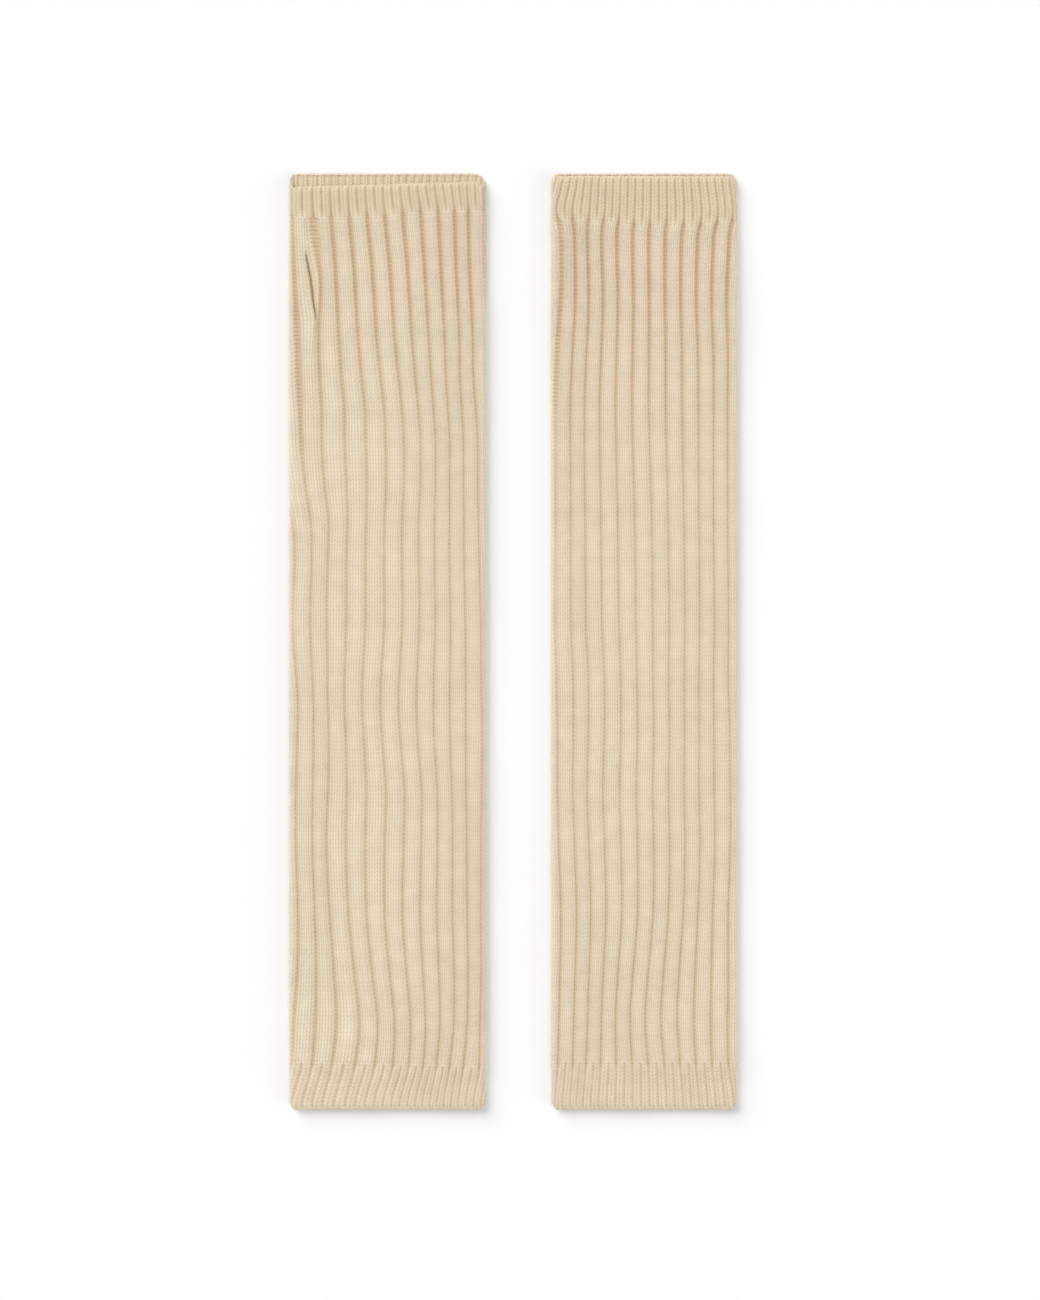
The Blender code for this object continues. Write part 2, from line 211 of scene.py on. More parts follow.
def groovePlaces(glove, heights):
    # along the tube at each height, for grooves -1 to 24; those under the glove share what the front leaves
    courses = np.array(glove["courses"], float)
    marks = np.stack([curveThrough(courses[:, 0], course, heights) for course in courses.T[1:]], 1)
    places = np.zeros((len(heights), cloth["ribsAround"] + 2))
    first, last = trackedGrooves[0], trackedGrooves[-1]
    for groove in range(firstRib, lastTracked + 1):
        if groove <= first:
            step = (marks[:, 1] - marks[:, 0]) / (trackedGrooves[1] - first)
            place = marks[:, 0] + (groove - first) * step
        elif groove >= last:
            step = (marks[:, -1] - marks[:, -2]) / (last - trackedGrooves[-2])
            place = marks[:, -1] + (groove - last) * step
        else:
            place = 0
            for i, mark in enumerate(trackedGrooves):  # the one smooth curve through all five
                others = [other for other in trackedGrooves if other != mark]
                weight = math.prod((groove - other) / (mark - other) for other in others)
                place = place + marks[:, i] * weight
        wanders = [course for number, course in glove["wanders"] if number == groove]
        shift = sum(curveThrough(*zip(*course), heights) for course in wanders)
        places[:, groove - firstRib] = place + shift
    start = places[:, lastTracked - firstRib]
    end = places[:, 0] + glove["perimeter"]
    left = cloth["ribsAround"] + firstRib - lastTracked
    for i in range(1, left + 1):
        places[:, lastTracked - firstRib + i] = start + (end - start) * i / left
    places[:, -1] = places[:, 1] + glove["perimeter"]
    return places


def grooveWidths(glove, heights, groove=None):
    widths = curveThrough(*zip(*cloth["grooveWidths"]), heights)
    for number, low, high, width in glove["openGrooves"]:
        if number == groove:
            into = np.minimum(heights - low, high - heights) / cloth["openingLength"]
            widths = widths + eased(1 + into) * np.maximum(width - widths, 0)
    return widths


purlReach = (1.25, 3.5)  # the purl stitch and what is beside it, in units across a rib


def openness(glove, heights, columns):
    # 0 in an ordinary groove, near 1 in a stretched one
    values = np.zeros((len(heights), len(columns)))
    for i, column in enumerate(columns):
        if not purlReach[0] <= column["at"] <= purlReach[1]:
            groove = column["rib"] + (column["at"] > 2)
            values[:, i] = 1 - grooveWidths(glove, heights) / grooveWidths(glove, heights, groove)
    return values


def aroundTube(glove, along):
    # the tube's middle line and the way out of it; along is measured from the centre line over the sides
    half = glove["perimeter"] / 2
    along = (along + half) % (2 * half) - half
    side = np.where(along < 0, -1.0, 1.0)
    past = np.abs(along) - glove["flatHalf"]
    angle = np.clip(past / sideRadius, 0, math.pi)
    beyond = np.maximum(past - math.pi * sideRadius, 0)
    x = side * (np.minimum(np.abs(along), glove["flatHalf"]) - beyond)
    return x, side * np.sin(angle), np.cos(angle)


def rimHeights(glove, x, outZ, end):
    # how high the rim lies, with the corners rounded and the front layer short of the back one
    left, right = glove[f"{end}Corners"]
    radius = np.where(x > 0, right, left)
    into = np.maximum(np.abs(x) - (glove["width"] / 2 - radius), 0)
    drop = radius - np.sqrt(np.maximum(radius**2 - into**2, 0))
    if end == "arm":
        return drop
    left, right = glove["handDrop"]
    short = left + (right - left) * (x / glove["width"] + 0.5)
    return handEnd - drop - short * np.clip(outZ, 0, 1)


seamReach = {
    "body": 50.0,  # the body is drawn up over this length
    "rim": 8.0,  # and the cuff from its seam to this far from its rim
}


def seamRise(glove, x, height):
    # how far a point is drawn up because the seams aren't straight
    total = 0
    for end, way in ways.items():
        seam = glove[f"{end}Seam"]
        past = way * (height - seam)
        cuffLength = (handEnd - seam if way > 0 else seam) - seamReach["rim"]
        near = np.where(past < 0, 1 + past / seamReach["body"], 1 - past / cuffLength)
        total = total + curveThrough(*zip(*glove[f"{end}SeamRise"]), x) * eased(near)
    return total


# Columns of points round a tube. A rib has 4 units: the purl stitch in its groove and 3 knit ones, or in
# a cuff purl, knit, purl, knit. What shows has 4 points to a unit, and the underside has 2.
pointsPerUnit = {"front": 4, "under": 2}


def makeColumns(glove, isCuff):
    columns = []
    for rib in range(firstRib, cloth["ribsAround"] + firstRib):
        part = "front" if rib <= lastRib else "under"
        for step in range(unitsPerRib * pointsPerUnit[part]):
            at = step / pointsPerUnit[part]
            atSlit = not isCuff and (rib, at) == (glove["slit"]["rib"], glove["slit"]["unit"])
            for lip in (-1, 1) if atSlit else (0,):
                columns.append({"rib": rib, "at": at, "part": part, "lip": lip})
    return columns


def straightBetween(stops, at):
    # each stop is a unit across the rib and where that lies at every height
    for (lowAt, low), (highAt, high) in zip(stops, stops[1:]):
        if at <= highAt:
            return low + (high - low) * (at - lowAt) / (highAt - lowAt)


def placeColumns(glove, columns, heights, isCuff):
    # how far along the tube each column lies at each height, and how far it is across its rib
    grooves = groovePlaces(glove, heights)
    along = np.zeros((len(heights), len(columns)))
    across = np.zeros_like(along)
    for i, column in enumerate(columns):
        rib, at = column["rib"], column["at"]
        low, high = grooves[:, rib - firstRib], grooves[:, rib - firstRib + 1]
        slit = glove["slit"]
        if isCuff:
            left = right = grooveWidths(glove, heights) / 2
            half, middle = cloth["cuffGrooveWidth"] / 2, (low + high) / 2
            stops = [(0, low - half), (1, low + half), (2, middle - half), (3, middle + half)]
            stops.append((unitsPerRib, high - half))
        else:
            left = grooveWidths(glove, heights, rib) / 2
            right = grooveWidths(glove, heights, rib + 1 if rib + 1 < lastTracked else None) / 2
            stops = [(0, low - left), (1, low + left), (unitsPerRib, high - right)]
            if rib == slit["rib"]:
                middle = low + (high - low) * curveThrough(*zip(*slit["course"]), heights)
                bottom, top = slit["ends"]
                into = np.clip((heights - bottom) / (top - bottom), 0, 1)
                half = slitLipGap / 2 + slit["width"] / 2 * np.sin(math.pi * into)
                if at < slit["unit"] or column["lip"] < 0:
                    stops[2] = (slit["unit"], middle - half)
                else:
                    stops[:2] = [(slit["unit"], middle + half)]
        place = along[:, i] = straightBetween(stops, at)
        floors = [np.maximum(half - cloth["grooveFlank"], cloth["grooveFloor"]) for half in (left, right)]
        if place[0] >= low[0]:
            across[:, i] = np.clip((place - low - floors[0]) / (high - low - sum(floors)), 0, 1)
        else:
            before = low - grooves[:, max(rib - firstRib - 1, 0)]
            before = np.where(before > 0, before, high - low)
            across[:, i] = np.clip((low - place - floors[0]) / (before - 2 * floors[0]), 0, 1)
    return along, across


slitLipGap = 0.16  # between the two lips where the slit is closed
slitThinning = {
    "depth": 1.4,
    "reach": 0.8,  # to either side, in stitch columns
    "past": 4.0,  # beyond each end
}


def thinning(glove, heights, rib, at):
    # how much thinner the cloth gets towards the slit, so that it doesn't read as a deep cut
    slit = glove["slit"]
    bottom, top = slit["ends"]
    past = slitThinning["past"]
    into = np.clip((heights - bottom + past) / (top - bottom + 2 * past), 0, 1)
    beside = np.exp(-(((at - slit["unit"]) / slitThinning["reach"]) ** 2)) * (rib == slit["rib"])
    return slitThinning["depth"] * np.sin(math.pi * into) * beside


def notBelow(least, share):
    # from least, where the share is 0, to 1
    return least + (1 - least) * share


def reliefShares(outZ):
    # of a rib's height, and how deep the plain surface is set so that the ribs underneath stay on the table
    side, under = cloth["sideShare"], cloth["underShare"]
    most = under * cloth["wideRelief"] + cloth["underProud"] * cloth["stitchRelief"]
    share = np.where(outZ > 0, notBelow(side, outZ**2), side + (under - side) * outZ**2)
    return share, np.where(outZ > 0, 0, most * outZ**2)


def stitchShares(relief, fromSeam):
    # the stitches are lower where the ribs are, and at a seam, where those of the two ribbings don't line up
    least = cloth["leastStitch"]
    return notBelow(least, relief) * notBelow(least, np.clip(fromSeam / cloth["calmLength"], 0, 1))


undulation = {"height": 0.28, "waves": 7, "shortest": 35.0, "longest": 120.0, "seed": 11}


def softWaves(x, y):
    # the cloth doesn't lie dead flat: a few long low waves
    random = np.random.default_rng(undulation["seed"])
    total = np.zeros(np.broadcast(x, y).shape)
    for _ in range(undulation["waves"]):
        length = random.uniform(undulation["shortest"], undulation["longest"])
        turn = random.uniform(0, math.pi)
        phase = random.uniform(0, 2 * math.pi)
        total += np.sin(2 * math.pi * (x * math.cos(turn) + y * math.sin(turn)) / length + phase)
    return undulation["height"] * total / math.sqrt(undulation["waves"])


def spotsOnTube(glove, x, outX, outZ, height, offset):
    # points at an offset from the tube's middle line, on the soft waves and with the seams' rise
    wave = softWaves(x + glove["centre"], height) * np.clip(outZ, 0, 1)
    height = height + seamRise(glove, x, height)
    return np.stack([x + outX * offset, height, sideRadius + outZ * offset + wave], -1)


def onTable(glove, points):
    # from the glove's own mm to where it lies in the scene
    return ((points + [glove["centre"], -handEnd / 2, 0]) * mm).tolist()


def addObject(name, data):
    added = bpy.data.objects.new(name, data)
    bpy.context.scene.collection.objects.link(added)
    return added


def storeValues(mesh, name, values, kind="FLOAT", domain="POINT"):
    # as an attribute of the mesh, which the trees and the wool read by its name
    values = np.ravel(values).astype(bool if kind == "BOOLEAN" else np.float32)
    data = mesh.attributes.new(name, kind, domain).data
    data.foreach_set("vector" if kind == "FLOAT_VECTOR" else "value", values)


# what each point carries, apart from its place and the way out
pointValues = ("share", "swell", "stitchShare", "ribAcross", "cuffAcross", "cuffness", "leg")
pointValues += ("row", "knit", "unit", "inside", "rim", "opened", "atSeam")


class Net:
    # gathers blocks of points and the faces between them

    def __init__(self, glove):
        self.glove = glove
        self.count = 0
        self.places, self.outs, self.faces = [], [], []
        self.values = {name: [] for name in pointValues}

    def addBlock(self, along, height, offset, **values):
        x, outX, outZ = aroundTube(self.glove, along)
        self.places.append(spotsOnTube(self.glove, x, outX, outZ, height, offset).reshape(-1, 3))
        self.outs.append(np.stack([outX, outX * 0, outZ], -1).reshape(-1, 3))
        for name in pointValues:
            value = np.broadcast_to(np.asarray(values.get(name, 0), float), along.shape)
            self.values[name].append(value.reshape(-1))
        block = np.arange(self.count, self.count + along.size).reshape(along.shape)
        self.count += along.size
        return block

    def addSkin(self, block, flip=False, closed=False, skip=None):
        # quads between neighbours of a block; skip is (column, first row, last row) that stays open
        if closed:
            block = np.concatenate([block, block[:, :1]], 1)
        a, b, c, d = block[:-1, :-1], block[:-1, 1:], block[1:, 1:], block[1:, :-1]
        quads = np.stack([a, d, c, b] if flip else [a, b, c, d], -1)
        if skip is not None:
            kept = np.ones(quads.shape[:2], bool)
            kept[skip[1] : skip[2], skip[0]] = False
            quads = quads[kept]
        self.faces.extend(quads.reshape(-1, 4).tolist())

    def sew(self, left, right, leftAt, rightAt, flip=False):
        # triangles between two lines of points, each with a rising measure along it
        i = j = 0
        while i < len(left) - 1 or j < len(right) - 1:
            useLeft = j == len(right) - 1 or (i < len(left) - 1 and leftAt[i + 1] <= rightAt[j + 1])
            face = [left[i], right[j], left[i + 1]] if useLeft else [left[i], right[j], right[j + 1]]
            i, j = (i + 1, j) if useLeft else (i, j + 1)
            face = [int(point) for point in face]
            self.faces.append(face[::-1] if flip else face)

    def build(self, name):
        mesh = bpy.data.meshes.new(name)
        mesh.from_pydata(onTable(self.glove, np.concatenate(self.places)), [], self.faces)
        storeValues(mesh, "out", np.concatenate(self.outs), "FLOAT_VECTOR")
        values = {key: np.concatenate(parts) for key, parts in self.values.items()}
        for key, value in values.items():
            storeValues(mesh, key, value)
        setKnitMap(mesh, values["unit"], values["row"])
        ends = readNumbers(mesh.edges, "vertices", 2)
        sharp = (values["atSeam"][ends].reshape(-1, 2) > 0).all(1)
        storeValues(mesh, "sharp_edge", sharp, "BOOLEAN", "EDGE")
        return addObject(name, mesh)


def readNumbers(things, name, each=1):
    numbers = np.empty(each * len(things), np.int32)
    things.foreach_get(name, numbers)
    return numbers


def setKnitMap(mesh, units, rows):
    # the map counts stitch columns across and rows up, so a face over the map's own seam needs one turn added
    points = readNumbers(mesh.loops, "vertex_index")
    starts, sizes = readNumbers(mesh.polygons, "loop_start"), readNumbers(mesh.polygons, "loop_total")
    across, up = units[points], rows[points]
    low = np.repeat(np.minimum.reduceat(across, starts), sizes)
    high = np.repeat(np.maximum.reduceat(across, starts), sizes)
    across = across + turnUnits * ((high - low > turnUnits / 2) & (across - low < turnUnits / 2))
    knitMap = mesh.uv_layers.new(name="knitMap")
    knitMap.data.foreach_set("uv", np.stack([across, up], 1).astype(np.float32).ravel())


def columnValues(columns):
    # what the stitches need to know of each column
    at, rib, part = (np.array([column[key] for column in columns]) for key in ("at", "rib", "part"))
    within = at % 1
    leg = np.where(part == "front", within, within / 2)
    return {"at": at, "rib": rib, "within": within, "leg": leg, "unit": rib * unitsPerRib + at}


def chevron(within, knit):
    # how far a point of a stitch is lifted, in rows: a V on a knit stitch, level on a purl one
    return cloth["stitchSlant"] * np.where(knit, np.abs(2 * within - 1) - 0.5, 0.5)


innerRows = (15, 8, 2)  # of the plain inside: below, along and above the slit


def bodyNet(glove):
    net = Net(glove)
    columns = makeColumns(glove, False)
    low, high = glove["armSeam"], glove["handSeam"]
    rows = round((high - low) / cloth["rowHeight"])
    rowHeight = (high - low) / rows
    blocks = []
    for part, halfRows in (("front", 1), ("under", 4)):
        shown = [column for column in columns if column["part"] == part]
        about = columnValues(shown)
        knit = about["at"] >= 1
        row = np.append(np.arange(0, 2 * rows, halfRows) / 2, rows)
        heights = low + row * rowHeight
        along, across = placeColumns(glove, shown, heights, False)
        relief, depth = reliefShares(aroundTube(glove, along)[2])
        relief = relief * curveThrough(*zip(*cloth["reliefAlong"]), heights)[:, None]
        lift = chevron(about["within"], knit) * rowHeight
        fromSeam = np.minimum(heights - low, high - heights)[:, None]
        thinner = thinning(glove, heights[:, None], about["rib"], about["at"])
        block = net.addBlock(
            along,
            heights[:, None] + lift * np.clip(fromSeam / rowHeight, 0, 1),
            sideRadius - depth - thinner,
            share=relief,
            stitchShare=stitchShares(relief, fromSeam),
            ribAcross=across,
            leg=about["leg"],
            row=row[:, None] + 0.5,  # so that a seam isn't between two rows
            knit=knit,
            unit=about["unit"],
            opened=openness(glove, heights, shown),
            atSeam=((row == 0) | (row == rows))[:, None],
        )
        skip = None
        lips = [i for i, column in enumerate(shown) if column["lip"]]
        if lips:
            skip = (lips[0], *np.searchsorted(heights, glove["slit"]["ends"]))
            slitBlock, slitHeights, slitSkip = block, heights, skip
        net.addSkin(block, skip=skip)
        blocks.append((block, heights, about["unit"]))
    (front, frontHeights, frontUnits), (under, underHeights, underUnits) = blocks
    net.sew(front[:, -1], under[:, 0], frontHeights, underHeights)
    net.sew(under[:, -1], front[:, 0], underHeights, frontHeights)

    # the plain inside, with the slit's lips in it
    inner = [column for column in columns if column["lip"] or column["at"] in (0.5, 2.5)]
    glove["slitHeights"] = slitHeights[list(slitSkip[1:])]
    marks = (low, *glove["slitHeights"], high)
    stretches = [np.linspace(a, b, count + 1)[1:] for a, b, count in zip(marks, marks[1:], innerRows)]
    heights = np.concatenate([[low], *stretches])
    along = placeColumns(glove, inner, heights, False)[0]
    innerUnits = columnValues(inner)["unit"]
    innerBlock = net.addBlock(
        along,
        np.broadcast_to(heights[:, None], along.shape),
        cloth["insideGap"] / 2,
        row=(heights[:, None] - low) / rowHeight + 0.5,
        unit=innerUnits,
        # the whole inner layer gets the painted warm bounce light
        inside=1,
        atSeam=((heights == low) | (heights == high))[:, None],
    )
    innerLip = next(i for i, column in enumerate(inner) if column["lip"])
    innerSkip = (innerLip, innerRows[0], innerRows[0] + innerRows[1])
    net.addSkin(innerBlock, flip=True, closed=True, skip=innerSkip)

    # cut faces: round both ends, and round the slit
    ring = np.concatenate([frontUnits, underUnits])
    for end in (0, -1):
        outer = np.concatenate([front[end], under[end], front[end][:1]])
        inside = np.append(innerBlock[end], innerBlock[end][0])
        ringAt, insideAt = (np.append(units, units[0] + turnUnits) for units in (ring, innerUnits))
        net.sew(outer, inside, ringAt, insideAt, flip=end == -1)
    cut, innerCut = (slice(skip[1], skip[2] + 1) for skip in (slitSkip, innerSkip))
    for side in (0, 1):
        lines = slitBlock[cut, slitSkip[0] + side], innerBlock[innerCut, innerLip + side]
        net.sew(*lines, slitHeights[cut], heights[innerCut], flip=side == 1)
    for i in (1, 2):
        a, b = slitBlock[slitSkip[i], slitSkip[0] : slitSkip[0] + 2]
        d, c = innerBlock[innerSkip[i], innerLip : innerLip + 2]
        net.faces.append([int(point) for point in ((a, b, c, d) if i == 1 else (d, c, b, a))])
    return net


cuff = {
    "blendLength": 3.5,  # from the body's wide ribs to the cuff's narrow ones
    "swellLength": 15.0,  # over which the wide ribs die away under the narrow ones
    "bandLength": 2.2,  # the plain edge at the rim
    "bandSlope": 1.2,  # over which it goes over into the ribs
    "bandShare": 0.6,  # of the relief there
    "edgeRadius": 1.0,
    "edgeSteps": 5,
    "edgeRows": 0.2,  # stitch rows to a step
    "closeRows": 4,  # finer rows inside the rim, which show where the other layer falls short
    "steadyLength": 2.0,  # over which the stitches' legs begin to climb
    "paintedBounceFrom": 7.0,  # how far inside the rim the painted warm bounce light begins
    "paintedBounceLength": 8.0,
    "rimInset": 0.35,  # how much thinner the layer gets at the rim
    "innerShare": 0.6,  # of the relief on the inside
    "handShare": 0.76,  # of the narrow ribs' relief at the hand end
    "armShare": 0.55,  # and at the arm end, where the cuff is stretched flatter
    "handTone": 0.55,  # share of the rim's darkening kept over the whole hand cuff
}


def narrowRibs(along, columns):
    # how far each column is across its narrow rib, between the middles of the purl columns
    middles = [i for i, column in enumerate(columns) if column["at"] % 2 == 0.5]
    marks = along[:, middles]
    turn = (2 * along[:, -1] - along[:, -2] - along[:, 0])[:, None]
    marks = np.concatenate([marks[:, -1:] - turn, marks, marks[:, :1] + turn], 1)
    across = np.zeros_like(along)
    rows = np.arange(len(along))
    for i in range(len(columns)):
        place = along[:, i]
        k = (marks[:, :-1] <= place[:, None]).sum(1) - 1
        low, high = marks[rows, k], marks[rows, k + 1]
        floor = cloth["grooveFloor"]
        across[:, i] = np.clip((place - low - floor) / (high - low - 2 * floor), 0, 1)
    return across


def cuffNet(glove, end):
    net = Net(glove)
    columns = makeColumns(glove, True)
    about = columnValues(columns)
    seam, way, atHand = glove[f"{end}Seam"], ways[end], end == "hand"
    length = abs((handEnd if atHand else 0) - seam)
    rows = round(length / cloth["rowHeight"])
    purl = np.floor(about["at"]) % 2 == 0

    # every row round the cuff: out from the seam, over the rim and back inside
    # each is (how far to the rim, the turn over the edge, the way round, stitch row)
    path = [(i / (2 * rows), 0.0, 0, i / 2) for i in range(2 * rows + 1)]
    for i in range(1, cuff["edgeSteps"] + 1):
        path.append((1.0, math.pi * i / (cuff["edgeSteps"] + 1), 0, rows + i * cuff["edgeRows"]))
    path += [(1 - i / (2 * rows), math.pi, 1, rows - i / 2) for i in range(2 * cuff["closeRows"])]
    path += [(1 - i / rows, math.pi, 1, rows - i) for i in range(cuff["closeRows"], rows + 1)]
    travel, turned, inside, row = (np.array(values, float)[:, None] for values in zip(*path))

    # a column wanders with its grooves, so its place is read at the height of each row
    heights = seam + way * travel[:, 0] * length
    along, across = placeColumns(glove, columns, heights, True)
    narrowAcross = narrowRibs(along, columns)
    # the ribs that show inside are those between the outer ones
    ribColumns = unitsPerRib * pointsPerUnit["front"]
    ahead = np.roll(along, -ribColumns, 1)
    ahead[:, -ribColumns:] += glove["perimeter"]
    along = along + (ahead - along) / 4 * turned / math.pi
    x, outX, outZ = aroundTube(glove, along)
    rim = rimHeights(glove, x + outX * sideRadius, outZ, end)
    relief, depth = reliefShares(outZ)
    reach = np.abs(rim - seam) - cuff["edgeRadius"]
    height = seam + way * (travel * reach + np.sin(turned) * cuff["edgeRadius"])
    fromSeam, toRim = travel * reach, (1 - travel) * reach + cuff["edgeRadius"]
    lift = chevron(about["within"], ~purl) * cloth["rowHeight"]
    for distance in (fromSeam, toRim - cuff["edgeRadius"]):
        lift = lift * np.clip(distance / cuff["steadyLength"], 0, 1)

    band = np.clip((cuff["bandLength"] - toRim) / cuff["bandSlope"], 0, 1)
    fading = 1 - band * (1 - cuff["bandShare"])
    blend = np.clip(fromSeam / cuff["blendLength"], 0, 1)
    flatter = 1 - (1 - cuff[f"{end}Share"]) * blend
    swell = blend * (1 - flatter * cloth["narrowRelief"] / cloth["wideRelief"])
    swell = swell * np.clip(1 - fromSeam / cuff["swellLength"], 0, 1) ** 2
    isInside = (inside > 0) | (turned > math.pi / 2)
    innerShare = -cuff["innerShare"]
    innerBase = cloth["insideGap"] / 2 + cuff["innerShare"] * cloth["narrowRelief"] * fading
    outerBase = sideRadius - depth - cuff["rimInset"] * band * np.clip(outZ, 0, 1)
    middle, half = (outerBase + innerBase) / 2, (outerBase - innerBase) / 2
    edge = np.abs(np.cos(turned))  # no relief on the very edge
    inward = innerShare * stitchShares(1, fromSeam)
    block = net.addBlock(
        along,
        height + lift,
        middle + half * np.cos(turned),
        share=np.where(isInside, innerShare, relief) * fading * edge * flatter,
        swell=np.where(isInside, 0, relief * swell),
        stitchShare=np.where(isInside, inward, stitchShares(relief, fromSeam)) * edge,
        ribAcross=across,
        cuffAcross=narrowAcross,
        cuffness=np.where(isInside, 1, blend),
        leg=about["leg"],
        row=row + 0.5,
        knit=np.where(purl & (about["at"] >= 2), 1 - blend, ~purl),
        unit=about["unit"],
        # painted warm bounce light on the inside layer, deep enough inside the rim
        inside=np.where(inside > 0, np.clip((toRim - cuff["paintedBounceFrom"]) / cuff["paintedBounceLength"], 0, 1), 0),
        # painted shade near the hand rim, and some darkening over the whole hand cuff
        rim=np.clip(1 - toRim / cuff["bandLength"], cuff["handTone"] * blend, 1) * atHand,
        atSeam=travel == 0,
    )
    net.addSkin(np.concatenate([block, block[:1]]), flip=not atHand, closed=True)
    return net


def setInputs(tree, node, inputs):
    # each input gets a number, a colour, a name or what another node gives
    for key, value in inputs.items():
        value = getattr(value, "socket", value)
        if isinstance(value, bpy.types.NodeSocket):
            tree.links.new(value, node.inputs[key])
        else:
            node.inputs[key].default_value = value


def addNode(tree, kind, inputs={}, **settings):
    node = tree.nodes.new(kind)
    for key, value in settings.items():
        setattr(node, key, value)
    setInputs(tree, node, inputs)
    return node


class Value:
    # a number that a node gives; each sum with it adds a math node

    def __init__(self, tree, socket):
        self.tree, self.socket = tree, socket

    def by(self, operation, *others):
        inputs = dict(enumerate((self, *others)))
        return Value(self.tree, addNode(self.tree, "ShaderNodeMath", inputs, operation=operation).outputs[0])

    def __add__(self, other):
        return self.by("ADD", other)

    def __sub__(self, other):
        return self.by("SUBTRACT", other)

    def __rsub__(self, other):
        return self.by("MULTIPLY_ADD", -1.0, other)

    def __mul__(self, other):
        return self.by("MULTIPLY", other)

    def __abs__(self):
        return self.by("ABSOLUTE")


def mixed(low, high, factor):
    # low where the factor is 0 and high where it is 1
    return factor * (high - low) + low


def knitStitch(across, up):
    # the two round legs of a knit stitch, lower where they go under the next row
    dip = cloth["stitchDip"]
    legs = abs((across * (2 * math.pi)).by("SINE"))
    return legs * (abs((up * math.pi).by("SINE")) * (1 - dip) + dip)


def newTree(name, labels):
    tree = bpy.data.node_groups.new(name, "GeometryNodeTree")
    tree.interface.new_socket("Geometry", in_out="INPUT", socket_type="NodeSocketGeometry")
    for label in labels:
        tree.interface.new_socket(label, in_out="INPUT", socket_type="NodeSocketFloat")
    tree.interface.new_socket("Geometry", in_out="OUTPUT", socket_type="NodeSocketGeometry")
    given = addNode(tree, "NodeGroupInput").outputs
    return tree, given["Geometry"], {label: Value(tree, given[label]) for label in labels}


def named(tree, name, kind="FLOAT"):
    # a value that each point of the piece carries
    node = addNode(tree, "GeometryNodeInputNamedAttribute", {"Name": name}, data_type=kind)
    return Value(tree, node.outputs["Attribute"])


def finishTree(tree, geometry, material):
    realize = addNode(tree, "GeometryNodeRealizeInstances", {"Geometry": geometry})
    inputs = {"Geometry": realize.outputs["Geometry"], "Material": material}
    paint = addNode(tree, "GeometryNodeSetMaterial", inputs)
    addNode(tree, "NodeGroupOutput", {0: paint.outputs["Geometry"]})
    return tree


def applyTree(piece, tree, sizes):
    # the inputs are set before the tree first runs, and the result becomes a plain mesh
    modifier = piece.modifiers.new(tree.name, "NODES")
    modifier.node_group = tree
    for item in tree.interface.items_tree:
        if item.in_out == "INPUT" and item.name in sizes:
            modifier[item.identifier] = float(sizes[item.name])
    evaluated = piece.evaluated_get(bpy.context.evaluated_depsgraph_get())
    mesh = bpy.data.meshes.new_from_object(evaluated)
    piece.modifiers.clear()
    piece.data = mesh
    mesh.name = piece.name
    mesh.shade_smooth()
    return piece


knitSizes = {
    "Wide Relief": cloth["wideRelief"] * mm,
    "Narrow Relief": cloth["narrowRelief"] * mm,
    "Stitch Relief": cloth["stitchRelief"] * mm,
    "Purl Relief": cloth["purlRelief"] * mm,
    "Rib Roundness": 2.1,
    "Purl Tilt": 1.1,  # how far a purl bar climbs across its column, in rows
    "Closed Bars": 0.4,  # how far purl bars stand out where the groove isn't stretched
    "Unevenness": 0.05 * mm,
    "Seed": 4,
}


def knitTree(material):
    # raises the ribs and the stitches on a plain tube
    tree, tube, size = newTree("raiseKnit", knitSizes)

    def crown(across):
        filled = 1 - abs(across * 2.0 - 1.0).by("POWER", size["Rib Roundness"])
        return filled.by("MAXIMUM", 0.0).by("SQRT")

    def moved(direction, distance):
        inputs = {0: direction, "Scale": distance}
        return addNode(tree, "ShaderNodeVectorMath", inputs, operation="SCALE").outputs[0]

    wide, narrow = crown(named(tree, "ribAcross")), crown(named(tree, "cuffAcross"))
    wideHeight, narrowHeight = wide * size["Wide Relief"], narrow * size["Narrow Relief"]
    cuffness, share, stitchShare = (named(tree, name) for name in ("cuffness", "share", "stitchShare"))
    leg, row = named(tree, "leg"), named(tree, "row")
    bar = ((row - leg * size["Purl Tilt"]) * math.pi).by("SINE")
    purlStitch = bar * bar * mixed(size["Closed Bars"], 1.0, named(tree, "opened"))
    purlHeight, knitHeight = purlStitch * size["Purl Relief"], knitStitch(leg, row) * size["Stitch Relief"]
    rise = mixed(wideHeight, narrowHeight, cuffness) * share
    rise = rise + mixed(purlHeight, knitHeight, named(tree, "knit")) * stitchShare
    rise = rise + wideHeight * named(tree, "swell")

    # every stitch is a little out of place
    inputs = {"Min": (-1, -1, -1), "Max": (1, 1, 1), "Seed": size["Seed"]}
    random = addNode(tree, "FunctionNodeRandomValue", inputs, data_type="FLOAT_VECTOR")
    stray = moved(random.outputs["Value"], stitchShare.by("MAXIMUM", 0.0) * size["Unevenness"])
    inputs = {0: moved(named(tree, "out", "FLOAT_VECTOR"), rise), 1: stray}
    together = addNode(tree, "ShaderNodeVectorMath", inputs, operation="ADD")
    inputs = {"Geometry": tube, "Offset": together.outputs[0]}
    shift = addNode(tree, "GeometryNodeSetPosition", inputs)

    # the wool paints shade into the grooves, so it needs to know how deep in a groove each point lies
    depth = (1 - mixed(wide, narrow, cuffness)) * abs(share).by("MINIMUM", 1.0)
    inputs = {"Geometry": shift.outputs["Geometry"], "Name": "grooveDepth", "Value": depth}
    store = addNode(tree, "GeometryNodeStoreNamedAttribute", inputs, data_type="FLOAT", domain="POINT")
    return finishTree(tree, store.outputs["Geometry"], material)


